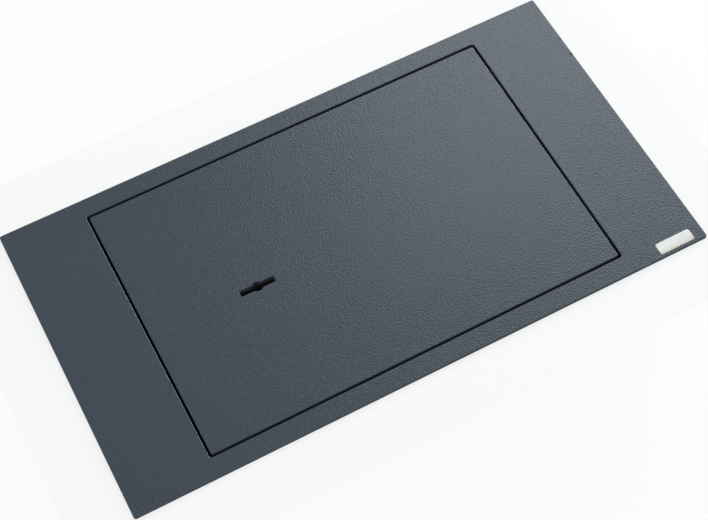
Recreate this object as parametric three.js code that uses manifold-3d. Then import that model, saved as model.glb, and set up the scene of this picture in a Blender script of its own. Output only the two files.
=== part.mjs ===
// Floor safe: a welded steel box let into a floor, closed by a flush hinged lid that two round
// bolts lock under the faceplate. The lock is a double-bit lever lock, reached through a slot.
// Units are millimetres and +Z is up. The origin is the centre of the box's underside.
// The hinge is at the +X end, the bolts are at the -X end, and front means the -Y side.
import * as THREE from 'three';
import { mergeVertices } from 'three/addons/utils/BufferGeometryUtils.js';
import Module from 'manifold-3d';

const wasm = await Module();
wasm.setup();

// Faceplate and opening
const openingLength = 347;
const openingWidth = 228;
const openingCorner = 2.5;
const faceThickness = 3;
const faceCorner = 2;
const flangeOverhang = 10;
const endShelf = 53.5;

// Box
const boxHeight = 147;
const sheet = 3;
const bendRadius = 5;
const anchorHoleRadius = 5.5;
const anchorFromEnd = 57;
const anchorFromSide = 47;
const matThickness = 3;
const matMargin = 2;
const matCorner = 8;

// Blank label on the faceplate
const labelLength = 30;
const labelWidth = 9.8;
const labelThickness = 0.3;
const labelCorner = 1.6;
const labelFromEnd = 24.8;
const labelFromFront = 7.6;

// Lid
const lidGap = 2;
const lidThickness = 6;
const lidCorner = 1.5;
const restBarWidth = 12;
const restBarDepth = 8;
const restBarSetback = 3.5;

// Hinge
const pivotInset = 34;
const pivotDrop = 8;
const pinRadius = 4;
const pinHeadRadius = 6.5;
const pinHeadLength = 2.5;
const pinClearance = 0.3;
const bracketThickness = 4;
const bracketClearance = 1;
const bracketEdge = 11.5;
const armThickness = 6;
const armInset = 2;
const armHeelRadius = 12;
const armFootReach = 18;
const washerRadius = 7.5;
const washerPlay = 0.3;
const stopNibRadius = 16.5;
const stopNibSpan = 28;
const stopClearance = 0.3;
const stopMargin = 0.5;
const openAngle = 100;

// Fixed dog on the hinge side
const dogLength = 180;
const dogWeldWidth = 12;
const dogReach = 12;
const dogThickness = 5;

// Locking bolts
const boltRadius = 10;
const boltFromLidEdge = 42;
const boltStroke = 18;
const boltTipSetback = 3.5;
const boltTipChamfer = 1.5;
const guideInset = 6.5;
const guideLength = 22;
const guideWidth = 34;
const guideWall = 3;
const guideClearance = 0.3;
const keeperClearance = 0.5;
const keeperWidth = 20;
const boltBarThickness = 6;
const boltBarHeight = 20;
const boltBarMargin = 12;
const boltBarClearance = 5;
const boltScrewHeadRadius = 6.5;
const boltScrewHeadLength = 8;
const boltScrewRadius = 4;
const boltScrewSocketRadius = 3.4;
const boltScrewDepth = 16;

// Keyhole
const keySlotLength = 29;
const keySlotWidth = 5;
const keyBulgeRadius = 4.2;
const keyOffsetY = -4.7;
const keyBitRadius = 14.5;

// Lock case
const drillPlateThickness = 3;
const caseGap = 3.5;
const caseWall = 2;
const caseHeight = 22;
const keyToCaseLeft = 28;
const keyToCaseFront = 34;
const keyToCaseRear = 36;
const caseTail = 14;
const coverThickness = 2;
const coverCornerRadius = 2;
const coverTipHoleRadius = 3.2;
const postRadius = 3.5;
const postInset = 4;
const coverScrewRadius = 1.8;
const coverScrewHeadRadius = 3.2;
const coverScrewHeadLength = 1.8;
const coverScrewDepth = 8;
const lugLength = 14;
const lugReach = 12;
const lugInset = 4;
const studRadius = 2.5;
const studLength = 14;
const nutAcrossFlats = 8;
const nutThickness = 4;

// Lock works
const curtainRadius = 17;
const curtainThickness = 1.6;
const lockBoltThickness = 4;
const lockBoltFront = -24;
const lockBoltRear = -6;
const lockBoltTailTop = 12;
const lockBoltTailEdge = 4;
const tenonWidth = 12;
const talonWidth = 8.8;
const talonDepth = 9.2;
const guidePinRadius = 2.4;
const guidePinU = 22;
const guidePinV = -17;
const stumpSize = 5;
const stumpU = 46;
const stumpV = 6;
const leverThickness = 1.8;
const leverPitch = 2.3;
const leverPivotU = -15;
const leverPivotV = 19;
const leverPostRadius = 3;
const leverEndRadius = 6.5;
const leverEdge = 2.5;
const leverUnderGate = 4;
const leverOverGate = 4;
const leverDrops = [5.5, 4.4, 3.6, 4.9, 4.0, 4.6];
const droppedBelly = 12.9;
const springThickness = 0.9;
const springBladeWidth = 1.4;
const springBaseLength = 12;
const springBaseU = 30;
const springTipU = 9;
const play = 0.4;

// Facets of round outlines, in degrees, and of turned pieces, in number
const fineStep = 10;
const roundStep = 15;
const smallStep = 30;
const screwStep = 45;
const hexagonStep = 60;
const turnedFacets = 32;

// How far a cutting tool reaches past what it cuts
const overcut = 1;

// Places worked out from the sizes above
const faceTop = boxHeight + faceThickness;
const lidBottom = faceTop - lidThickness;
const lidHalfLength = openingLength / 2 - lidGap;
const lidHalfWidth = openingWidth / 2 - lidGap;
const armOuterY = lidHalfWidth - armInset;
const armInnerY = armOuterY - armThickness;
const bracketInnerY = lidHalfWidth + bracketClearance;
const wallInnerY = bracketInnerY + bracketThickness;
const wallOuterY = wallInnerY + sheet;
const wallInnerX = openingLength / 2 + endShelf;
const wallOuterX = wallInnerX + sheet;
const faceHalfLength = wallOuterX + flangeOverhang;
const faceHalfWidth = wallOuterY + flangeOverhang;
const pivotX = lidHalfLength - pivotInset;
const pivotZ = lidBottom - pivotDrop;
const restBarEnd = pivotX - armHeelRadius - stopClearance;
const boltBoreRadius = boltRadius + guideClearance;
const boltSpacing = (lidHalfWidth - boltFromLidEdge) * 2;
const boltZ = lidBottom - guideWall - boltBoreRadius;
const boltTipX = -lidHalfLength + boltTipSetback;
const guideLeft = -lidHalfLength + guideInset;
const boltBarLeft = guideLeft + guideLength + boltStroke + boltBarClearance;
const boltBarRight = boltBarLeft + boltBarThickness;
const caseLeftX = boltBarRight + caseGap;
const keyX = caseLeftX + keyToCaseLeft;
const keyToCaseRight = stumpU + caseTail;
const caseTop = lidBottom - drillPlateThickness;
const caseBottom = caseTop - caseHeight;
const lockBoltTop = caseTop - caseWall - play;
const lockBoltBottom = lockBoltTop - lockBoltThickness;
const leverTop = lockBoltBottom - play;
const leverStackBottom = leverTop - leverDrops.length * leverPitch;
const deepestDrop = Math.max(...leverDrops);
const radians = Math.PI / 180;

// Points nearer than this are one point
const samePoint = 1e-4;

// Finishes
function finish(color, roughness, metalness) {
  return { color, roughness, metalness };
}
const paint = finish(0x4a5058, 0.5, 0.0);
const zincSteel = finish(0xb4b6b4, 0.35, 1.0);
const bareSteel = finish(0x8d8f92, 0.3, 1.0);
const hardSteel = finish(0x5f6166, 0.4, 1.0);
const brass = finish(0xb8955a, 0.3, 1.0);
const felt = finish(0x3a3c40, 0.95, 0.0);
const labelWhite = finish(0xeceae4, 0.45, 0.0);

// Outlines are lists of points. An arc runs between two angles in degrees.
function arc(x, y, radius, start, end, stepAngle = roundStep) {
  const steps = Math.max(1, Math.round(Math.abs(end - start) / stepAngle));
  return Array.from({ length: steps + 1 }, (_, i) => {
    const angle = (start + (end - start) * i / steps) * radians;
    return [x + radius * Math.cos(angle), y + radius * Math.sin(angle)];
  });
}

function polygon(points) {
  const apart = ([x, y], [u, v]) => Math.hypot(x - u, y - v) > samePoint;
  const kept = points.filter((point, i) => apart(point, points[(i + 1) % points.length]));
  return new THREE.Shape(kept.map(([x, y]) => new THREE.Vector2(x, y)));
}

function roundedRectangle(length, width, radius) {
  const x = length / 2 - radius;
  const y = width / 2 - radius;
  return polygon([
    ...arc(x, -y, radius, -90, 0), ...arc(x, y, radius, 0, 90),
    ...arc(-x, y, radius, 90, 180), ...arc(-x, -y, radius, 180, 270)]);
}

function rectangle(x0, x1, y0, y1) {
  return polygon([[x0, y0], [x1, y0], [x1, y1], [x0, y1]]);
}

function circle(x, y, radius, stepAngle) {
  return polygon(arc(x, y, radius, 0, 360, stepAngle));
}

// The double-bit key's slot: a straight slot with a round swelling for the stem.
function keySlot(x, y, clearance) {
  const half = keySlotLength / 2 + clearance;
  const side = keySlotWidth / 2 + clearance;
  const bulge = keyBulgeRadius + clearance;
  const meet = Math.asin(side / bulge) / radians;
  return polygon([
    [x + half, y - side], [x + half, y + side], ...arc(x, y, bulge, meet, 180 - meet),
    [x - half, y + side], [x - half, y - side], ...arc(x, y, bulge, 180 + meet, 360 - meet)]);
}

function withHoles(shape, ...holes) {
  shape.holes.push(...holes);
  return shape;
}

// Solids: an outline drawn in one plane, carried square to it
function extrude(shape, depth) {
  return new THREE.ExtrudeGeometry(shape, { depth, bevelEnabled: false });
}

function alongZ(shape, z0, z1) {
  return extrude(shape, z1 - z0).translate(0, 0, z0);
}

// The outline's x is Y and its y is Z.
function alongX(shape, x0, x1) {
  const turn = new THREE.Matrix4().makeBasis(
    new THREE.Vector3(0, 1, 0), new THREE.Vector3(0, 0, 1), new THREE.Vector3(1, 0, 0));
  return extrude(shape, x1 - x0).applyMatrix4(turn).translate(x0, 0, 0);
}

// The outline's x is X and its y is Z.
function alongY(shape, y0, y1) {
  const turn = new THREE.Matrix4().makeBasis(
    new THREE.Vector3(1, 0, 0), new THREE.Vector3(0, 0, 1), new THREE.Vector3(0, -1, 0));
  return extrude(shape, y1 - y0).applyMatrix4(turn).translate(0, y1, 0);
}

// A turned piece about an axis along X: pairs of a place along X and a radius.
function turnedAlongX(steps) {
  const profile = steps.map(([x, r]) => new THREE.Vector2(r, x));
  const turn = new THREE.Matrix4().makeBasis(
    new THREE.Vector3(0, 1, 0), new THREE.Vector3(1, 0, 0), new THREE.Vector3(0, 0, -1));
  return new THREE.LatheGeometry(profile, turnedFacets).applyMatrix4(turn);
}

function solidOf(geometry) {
  const bare = geometry.clone();
  bare.deleteAttribute('normal');
  bare.deleteAttribute('uv');
  const merged = mergeVertices(bare, samePoint / 10);
  return new wasm.Manifold(new wasm.Mesh({
    numProp: 3,
    vertProperties: new Float32Array(merged.attributes.position.array),
    triVerts: new Uint32Array(merged.index.array),
  }));
}

function geometryOf(solid) {
  const mesh = solid.getMesh();
  const geometry = new THREE.BufferGeometry();
  geometry.setAttribute('position', new THREE.BufferAttribute(mesh.vertProperties, 3));
  geometry.setIndex(new THREE.BufferAttribute(mesh.triVerts, 1));
  geometry.computeVertexNormals();
  return geometry;
}

function cut(geometry, ...tools) {
  return geometryOf(tools.reduce((solid, tool) => solid.subtract(solidOf(tool)), solidOf(geometry)));
}

function join(geometry, ...others) {
  return geometryOf(others.reduce((solid, other) => solid.add(solidOf(other)), solidOf(geometry)));
}

function piece(name, geometry, look) {
  const mesh = new THREE.Mesh(geometry, new THREE.MeshStandardMaterial(look));
  mesh.name = name;
  return mesh;
}

function group(...children) {
  return new THREE.Group().add(...children);
}

// The box and its faceplate
function faceplate() {
  const outline = roundedRectangle(faceHalfLength * 2, faceHalfWidth * 2, faceCorner);
  const opening = roundedRectangle(openingLength, openingWidth, openingCorner);
  return piece('faceplate', alongZ(withHoles(outline, opening), boxHeight, faceTop), paint);
}

function troughLine(halfWidth, radius) {
  const y = wallOuterY - bendRadius;
  return [[-halfWidth, boxHeight], ...arc(-y, bendRadius, radius, 180, 270),
    ...arc(y, bendRadius, radius, -90, 0), [halfWidth, boxHeight]];
}

// One sheet folded into a trough: front wall, floor and rear wall.
function bodyWrap() {
  const outside = troughLine(wallOuterY, bendRadius);
  const inside = troughLine(wallInnerY, bendRadius - sheet);
  const trough = polygon([...outside, ...inside.reverse()]);
  const anchorX = wallInnerX - anchorFromEnd;
  const anchorY = wallInnerY - anchorFromSide;
  const holes = [-1, 1].flatMap((sx) => [-1, 1].map((sy) => alongZ(
    circle(sx * anchorX, sy * anchorY, anchorHoleRadius), -overcut, sheet + overcut)));
  return piece('body_wrap', cut(alongX(trough, -wallInnerX, wallInnerX), ...holes), paint);
}

function endWall(name, side) {
  const outline = polygon(troughLine(wallOuterY, bendRadius));
  const x = side * (wallInnerX + wallOuterX) / 2;
  return piece(name, alongX(outline, x - sheet / 2, x + sheet / 2), paint);
}

function restBar(name, side) {
  const y = side * (wallInnerY - restBarWidth / 2);
  const outline = rectangle(-openingLength / 2 + restBarSetback, restBarEnd,
    y - restBarWidth / 2, y + restBarWidth / 2);
  return piece(name, alongZ(outline, lidBottom - restBarDepth, lidBottom), paint);
}

// The bar under the faceplate that the thrown bolts bear up against.
function boltKeeper() {
  const edge = -openingLength / 2;
  const outline = rectangle(edge - keeperWidth, edge, -wallInnerY, wallInnerY);
  const bottom = boltZ + boltRadius + keeperClearance;
  return piece('bolt_keeper_bar', alongZ(outline, bottom, boxHeight), paint);
}

function floorMat() {
  const outline = roundedRectangle((wallInnerX - matMargin) * 2,
    (wallOuterY - bendRadius - matMargin) * 2, matCorner);
  return piece('floor_mat', alongZ(outline, sheet, sheet + matThickness), felt);
}

function blankLabel() {
  const mesh = piece('blank_label', alongZ(
    roundedRectangle(labelLength, labelWidth, labelCorner), faceTop, faceTop + labelThickness), labelWhite);
  mesh.position.set(faceHalfLength - labelFromEnd, -faceHalfWidth + labelFromFront, 0);
  return mesh;
}

// Hinge parts come in mirrored pairs, so each is made between two distances from the middle.
function acrossHinge(shape, side, nearY, farY) {
  const ends = [side * nearY, side * farY];
  return alongY(shape, Math.min(...ends), Math.max(...ends));
}

function hingeBracket(name, side) {
  const hole = circle(pivotX, pivotZ, pinRadius + pinClearance);
  const outline = polygon([[pivotX - bracketEdge, boxHeight],
    ...arc(pivotX, pivotZ, bracketEdge, 180, 360), [pivotX + bracketEdge, boxHeight]]);
  return piece(name, acrossHinge(withHoles(outline, hole), side, bracketInnerY, wallInnerY), paint);
}

// The arm welded under the lid. Its round heel clears the end of the rest bar, and the nib on it
// meets the bar's lower corner when the lid is fully open.
function hingeArm(name, side) {
  const corner = new THREE.Vector2(restBarEnd - pivotX, lidBottom - restBarDepth - pivotZ);
  const nibStart = corner.angle() / radians + openAngle + stopMargin;
  const nibEnd = nibStart + stopNibSpan;
  const outline = polygon([
    [pivotX - armHeelRadius, lidBottom], ...arc(pivotX, pivotZ, armHeelRadius, 180, nibStart),
    ...arc(pivotX, pivotZ, stopNibRadius, nibStart, nibEnd), [pivotX + armFootReach, lidBottom]]);
  const hole = circle(pivotX, pivotZ, pinRadius + pinClearance);
  return piece(name, acrossHinge(withHoles(outline, hole), side, armInnerY, armOuterY), paint);
}

function hingeWasher(name, side) {
  const ring = withHoles(circle(pivotX, pivotZ, washerRadius),
    circle(pivotX, pivotZ, pinRadius + pinClearance));
  return piece(name, acrossHinge(ring, side, armOuterY + washerPlay, bracketInnerY - washerPlay), zincSteel);
}

function hingePin(name, side) {
  const headFace = armInnerY - play;
  const shank = acrossHinge(circle(pivotX, pivotZ, pinRadius), side, headFace, wallInnerY - play);
  const head = acrossHinge(circle(pivotX, pivotZ, pinHeadRadius), side, headFace - pinHeadLength, headFace);
  return piece(name, join(shank, head), zincSteel);
}

// The lid and what is welded or screwed under it
function lid() {
  const outline = roundedRectangle(lidHalfLength * 2, lidHalfWidth * 2, lidCorner);
  const leaf = alongZ(withHoles(outline, keySlot(keyX, keyOffsetY, 0)), lidBottom, faceTop);
  return piece('lid_plate', leaf, paint);
}

function hingeSideDog() {
  const outline = rectangle(
    lidHalfLength - dogWeldWidth, lidHalfLength + dogReach, -dogLength / 2, dogLength / 2);
  return piece('hinge_side_dog', alongZ(outline, lidBottom - dogThickness, lidBottom), paint);
}

function boltGuide(name, side) {
  const y = side * boltSpacing / 2;
  const block = withHoles(
    rectangle(y - guideWidth / 2, y + guideWidth / 2, boltZ - boltBoreRadius - guideWall, lidBottom),
    circle(y, boltZ, boltBoreRadius));
  return piece(name, alongX(block, guideLeft, guideLeft + guideLength), paint);
}

// Corner places of the lock case's lugs and posts, about the keyhole
function lugPlaces() {
  const us = [-keyToCaseLeft + lugInset + lugLength / 2, keyToCaseRight - lugInset - lugLength / 2];
  const vs = [-keyToCaseFront - lugReach / 2, keyToCaseRear + lugReach / 2];
  return us.flatMap((u) => vs.map((v) => [keyX + u, keyOffsetY + v]));
}

function postPlaces() {
  const us = [-keyToCaseLeft + caseWall + postInset, keyToCaseRight - caseWall - postInset];
  const vs = [-keyToCaseFront + caseWall + postInset, keyToCaseRear - caseWall - postInset];
  return us.flatMap((u) => vs.map((v) => [keyX + u, keyOffsetY + v]));
}

function caseOutline(shrink) {
  return rectangle(keyX - keyToCaseLeft + shrink, keyX + keyToCaseRight - shrink,
    keyOffsetY - keyToCaseFront + shrink, keyOffsetY + keyToCaseRear - shrink);
}

function drillPlate() {
  const outline = rectangle(keyX - keyToCaseLeft, keyX + keyToCaseRight,
    keyOffsetY - keyToCaseFront - lugReach, keyOffsetY + keyToCaseRear + lugReach);
  const holes = lugPlaces().map(([x, y]) => circle(x, y, studRadius + play));
  const plate = withHoles(outline, keySlot(keyX, keyOffsetY, play), ...holes);
  return piece('drill_plate', alongZ(plate, caseTop, lidBottom), hardSteel);
}

function lockStuds() {
  return lugPlaces().map(([x, y], i) => piece(`lock_stud_${i + 1}`,
    alongZ(circle(x, y, studRadius, smallStep), lidBottom - studLength, lidBottom), zincSteel));
}

function lockNuts() {
  const corner = nutAcrossFlats / Math.sqrt(3);
  const bottom = caseTop - caseWall - nutThickness;
  return lugPlaces().map(([x, y], i) => {
    const bore = circle(x, y, studRadius + pinClearance, smallStep);
    const nut = withHoles(circle(x, y, corner, hexagonStep), bore);
    return piece(`lock_nut_${i + 1}`, alongZ(nut, bottom, bottom + nutThickness), zincSteel);
  });
}

// A tray, open below, with lugs for the studs, corner posts for the cover, a seat for the curtain
// and a slot that the lock bolt leaves by.
function lockCase() {
  const floor = caseTop - caseWall;
  const posts = postPlaces().map(([x, y]) => alongZ(
    circle(x, y, postRadius, smallStep), caseBottom, floor + caseWall / 2));
  const lugs = lugPlaces().map(([x, y]) => {
    const inward = y > keyOffsetY ? -1 : 1;
    const ends = [y - inward * lugReach / 2, y + inward * (lugReach / 2 + caseWall / 2)];
    const outline = rectangle(x - lugLength / 2, x + lugLength / 2, Math.min(...ends), Math.max(...ends));
    return alongZ(outline, floor, caseTop);
  });
  const tray = cut(alongZ(caseOutline(0), caseBottom, caseTop),
    alongZ(caseOutline(caseWall), caseBottom - overcut, floor));
  const screwHoles = postPlaces().map(([x, y]) => alongZ(
    circle(x, y, coverScrewRadius + play / 2, screwStep),
    caseBottom - overcut, caseBottom + coverScrewDepth + play));
  const studHoles = lugPlaces().map(([x, y]) => alongZ(
    circle(x, y, studRadius + play, smallStep), floor - overcut, caseTop + overcut));
  const curtainSeat = alongZ(
    circle(keyX, keyOffsetY, curtainRadius + play, fineStep), floor - overcut, caseTop + overcut);
  const boltSlot = alongZ(rectangle(
    keyX - keyToCaseLeft - overcut, keyX - keyToCaseLeft + caseWall + overcut,
    keyOffsetY + lockBoltFront - play, keyOffsetY + lockBoltRear + play),
  lockBoltBottom - play, lockBoltTop + play / 2);
  const shell = cut(join(tray, ...posts, ...lugs), ...screwHoles, ...studHoles, curtainSeat, boltSlot);
  return piece('lock_case', shell, zincSteel);
}

function lockCover() {
  const middleX = keyX + (keyToCaseRight - keyToCaseLeft) / 2;
  const middleY = keyOffsetY + (keyToCaseRear - keyToCaseFront) / 2;
  const holes = postPlaces().map(([x, y]) => circle(
    x - middleX, y - middleY, coverScrewRadius + play / 2, screwStep));
  const tipHole = circle(keyX - middleX, keyOffsetY - middleY, coverTipHoleRadius);
  const plate = withHoles(roundedRectangle(keyToCaseLeft + keyToCaseRight, keyToCaseFront + keyToCaseRear,
    coverCornerRadius), tipHole, ...holes);
  const mesh = piece('lock_cover', alongZ(plate, caseBottom - coverThickness, caseBottom), zincSteel);
  mesh.position.set(middleX, middleY, 0);
  return mesh;
}

function coverScrews() {
  const headTop = caseBottom - coverThickness;
  return postPlaces().map(([x, y], i) => {
    const shank = circle(x, y, coverScrewRadius, screwStep);
    const head = circle(x, y, coverScrewHeadRadius, smallStep);
    return piece(`cover_screw_${i + 1}`, join(
      alongZ(shank, headTop - coverScrewHeadLength / 2, caseBottom + coverScrewDepth),
      alongZ(head, headTop - coverScrewHeadLength, headTop)), zincSteel);
  });
}

// Two posts that stand on the case floor, one for the levers and one in the lock bolt's slot
function leverPost() {
  const spot = circle(keyX + leverPivotU, keyOffsetY + leverPivotV, leverPostRadius);
  return piece('lever_post', alongZ(spot, caseBottom, caseTop - caseWall), bareSteel);
}

function lockBoltPin() {
  const spot = circle(keyX + guidePinU, keyOffsetY + guidePinV, guidePinRadius);
  return piece('lock_bolt_pin', alongZ(spot, caseBottom, caseTop - caseWall), bareSteel);
}

// How far a lever sinks at a place along the lock when it drops off the key, by an angle
function sinkAt(u, drop) {
  return Math.sin(drop * radians) * (u - leverPivotU);
}

// The straight upper edge that all the levers share
function leverTopEdge(u) {
  const startV = leverPivotV + leverEndRadius;
  const endV = stumpV + stumpSize / 2 + play + sinkAt(stumpU, deepestDrop) + leverOverGate;
  return startV + (endV - startV) * (u - leverPivotU) / (stumpU - leverPivotU);
}

// One comb of spring steel presses every lever down.
function leverSprings() {
  const wallV = keyToCaseRear - caseWall;
  const tipV = leverTopEdge(springTipU) + play;
  const base = alongZ(rectangle(keyX + springBaseU, keyX + springBaseU + springBaseLength,
    keyOffsetY + wallV - springThickness, keyOffsetY + wallV), leverStackBottom, leverTop);
  const blades = leverDrops.map((drop, i) => {
    const z = leverTop - i * leverPitch - leverThickness / 2;
    const blade = polygon([
      [springBaseU + springThickness, wallV - springThickness], [springBaseU + springThickness, wallV],
      [springBaseU - springThickness, wallV], [springTipU, tipV + springThickness], [springTipU, tipV]]);
    return alongZ(blade, z - springBladeWidth / 2, z + springBladeWidth / 2).translate(keyX, keyOffsetY, 0);
  });
  return piece('lever_spring_comb', join(base, ...blades), bareSteel);
}

// The boltwork, drawn with the bolts withdrawn
function roundBolt(name, side) {
  const shank = turnedAlongX([
    [boltTipX, 0], [boltTipX, boltRadius - boltTipChamfer], [boltTipX + boltTipChamfer, boltRadius],
    [boltBarLeft, boltRadius], [boltBarLeft, boltScrewRadius + play],
    [boltBarLeft - boltScrewDepth, boltScrewRadius + play], [boltBarLeft - boltScrewDepth, 0]]);
  const mesh = piece(name, shank, bareSteel);
  mesh.position.set(0, side * boltSpacing / 2, boltZ);
  return mesh;
}

function boltBar() {
  const halfWidth = boltSpacing / 2 + boltBarMargin;
  const outline = rectangle(-halfWidth, halfWidth, boltZ - boltBarHeight / 2, boltZ + boltBarHeight / 2);
  const tenonMiddle = keyOffsetY + (lockBoltFront + lockBoltRear) / 2;
  const reach = tenonWidth / 2 + play;
  const holes = [-1, 1].map((side) => circle(side * boltSpacing / 2, boltZ, boltScrewRadius + play));
  const tenonHole = rectangle(
    tenonMiddle - reach, tenonMiddle + reach, lockBoltBottom - play, lockBoltTop + play);
  const bar = withHoles(outline, tenonHole, ...holes);
  return piece('bolt_bar', alongX(bar, boltBarLeft, boltBarRight), zincSteel);
}

// A socket cap screw that holds a round bolt on the bar
function boltScrew(name, side) {
  const y = side * boltSpacing / 2;
  const shankEnd = boltBarLeft - boltScrewDepth + play;
  const headEnd = boltBarRight + boltScrewHeadLength;
  const socket = circle(y, boltZ, boltScrewSocketRadius, hexagonStep);
  const screw = join(
    alongX(circle(y, boltZ, boltScrewRadius), shankEnd, boltBarRight + overcut),
    alongX(circle(y, boltZ, boltScrewHeadRadius), boltBarRight, headEnd));
  const socketSpace = alongX(socket, headEnd - boltScrewHeadLength / 2, headEnd + overcut);
  return piece(name, cut(screw, socketSpace), hardSteel);
}

// A flat bolt with a tenon riveted through the bolt bar, a talon notch for the key's bit and a
// tail that carries the stump.
function lockBolt() {
  const shoulder = boltBarRight - keyX;
  const middle = (lockBoltFront + lockBoltRear) / 2;
  const tenonEnd = boltBarLeft - keyX;
  const tailStart = keyBitRadius + play * 2 + boltStroke;
  const tailEnd = stumpU + stumpSize / 2 + lockBoltTailEdge;
  const talonMiddle = boltStroke / 2;
  const outline = polygon([
    [tenonEnd, middle - tenonWidth / 2], [shoulder, middle - tenonWidth / 2], [shoulder, lockBoltFront],
    [tailEnd, lockBoltFront], [tailEnd, lockBoltTailTop], [tailStart, lockBoltTailTop],
    [tailStart, lockBoltRear], [talonMiddle + talonWidth / 2, lockBoltRear],
    [talonMiddle + talonWidth / 2, lockBoltRear - talonDepth],
    [talonMiddle - talonWidth / 2, lockBoltRear - talonDepth],
    [talonMiddle - talonWidth / 2, lockBoltRear], [shoulder, lockBoltRear],
    [shoulder, middle + tenonWidth / 2], [tenonEnd, middle + tenonWidth / 2]]);
  const side = guidePinRadius + play;
  const slot = polygon([...arc(guidePinU, guidePinV, side, 90, 270),
    ...arc(guidePinU + boltStroke, guidePinV, side, -90, 90)]);
  const mesh = piece('lock_bolt', alongZ(withHoles(outline, slot), lockBoltBottom, lockBoltTop), bareSteel);
  mesh.position.set(keyX, keyOffsetY, 0);
  return mesh;
}

function stump() {
  const half = stumpSize / 2;
  const outline = rectangle(stumpU - half, stumpU + half, stumpV - half, stumpV + half);
  const mesh = piece('lock_bolt_stump', alongZ(outline, leverStackBottom, lockBoltBottom), hardSteel);
  mesh.position.set(keyX, keyOffsetY, 0);
  return mesh;
}

// A dark disc with the key's slot that turns with the key in the case's top
function keyCurtain() {
  const disc = withHoles(circle(0, 0, curtainRadius, fineStep), keySlot(0, 0, play / 2));
  const low = caseTop - caseWall / 2 - curtainThickness / 2;
  const mesh = piece('key_curtain', alongZ(disc, low, low + curtainThickness), hardSteel);
  mesh.position.set(keyX, keyOffsetY, 0);
  return mesh;
}

// The gate: a channel that the stump can pass along only while the lever is lifted, with a pocket
// at each end that catches the stump when the lever drops
function leverGate(drop) {
  const reach = stumpSize / 2 + play;
  const swing = sinkAt(leverPivotU + leverPivotV - stumpV, drop) + play;
  const locked = stumpU - boltStroke;
  const high = stumpV + reach;
  return polygon([
    [locked - reach, stumpV - reach], [stumpU + reach + swing, stumpV - reach],
    [stumpU + reach + swing, high + sinkAt(stumpU, drop)], [stumpU - reach, high + sinkAt(stumpU, drop)],
    [stumpU - reach, high], [locked + reach + swing, high],
    [locked + reach + swing, high + sinkAt(locked, drop)], [locked - reach, high + sinkAt(locked, drop)]]);
}

// Each lever is drawn lifted by its own cut of the key, so a lever that drops further has a wider belly.
function lever(drop, index) {
  const bellyRadius = droppedBelly + sinkAt(0, drop);
  const underside = stumpV - stumpSize / 2 - play - leverUnderGate;
  const bellyStart = 180 - Math.asin((leverPivotV - leverEndRadius) / bellyRadius) / radians;
  const bellyEnd = Math.asin(underside / bellyRadius) / radians;
  const swing = sinkAt(leverPivotU + leverPivotV - stumpV, deepestDrop);
  const tip = stumpU + stumpSize / 2 + play * 2 + swing + leverEdge;
  const outline = polygon([
    ...arc(leverPivotU, leverPivotV, leverEndRadius, 90, 270),
    ...arc(0, 0, bellyRadius, bellyStart, bellyEnd, fineStep),
    [tip, underside], [tip, leverTopEdge(tip)]]);
  const pivotHole = circle(leverPivotU, leverPivotV, leverPostRadius + pinClearance);
  const top = leverTop - index * leverPitch;
  const plate = alongZ(withHoles(outline, pivotHole, leverGate(drop)), top - leverThickness, top);
  const mesh = piece(`lever_${index + 1}`, plate, brass);
  mesh.position.set(keyX, keyOffsetY, 0);
  return mesh;
}

const box = group(
  faceplate(), bodyWrap(), endWall('end_wall_left', -1), endWall('end_wall_right', 1),
  boltKeeper(), restBar('rest_bar_front', -1), restBar('rest_bar_rear', 1),
  hingeBracket('hinge_bracket_front', -1), hingeBracket('hinge_bracket_rear', 1),
  hingePin('hinge_pin_front', -1), hingePin('hinge_pin_rear', 1), floorMat(), blankLabel());

const lidAssembly = group(
  lid(), hingeArm('hinge_arm_front', -1), hingeArm('hinge_arm_rear', 1),
  hingeWasher('hinge_washer_front', -1), hingeWasher('hinge_washer_rear', 1), hingeSideDog(),
  boltGuide('bolt_guide_front', -1), boltGuide('bolt_guide_rear', 1));

const lock = group(
  drillPlate(), ...lockStuds(), ...lockNuts(), lockCase(), lockCover(), ...coverScrews(),
  leverPost(), lockBoltPin(), leverSprings(), keyCurtain(),
  ...leverDrops.map(lever));

const boltwork = group(
  roundBolt('round_bolt_front', -1), roundBolt('round_bolt_rear', 1), boltBar(),
  boltScrew('bolt_screw_front', -1), boltScrew('bolt_screw_rear', 1), lockBolt(), stump());

export default group(box, lidAssembly, lock, boltwork);
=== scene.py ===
"""Dresses the floor safe: powder-coated steel, welds, turned bolts and pins, felt, and the studio round it.

Everything is in metres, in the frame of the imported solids: +Z up, +X towards the hinge, -Y the near side.
"""
import math

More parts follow.
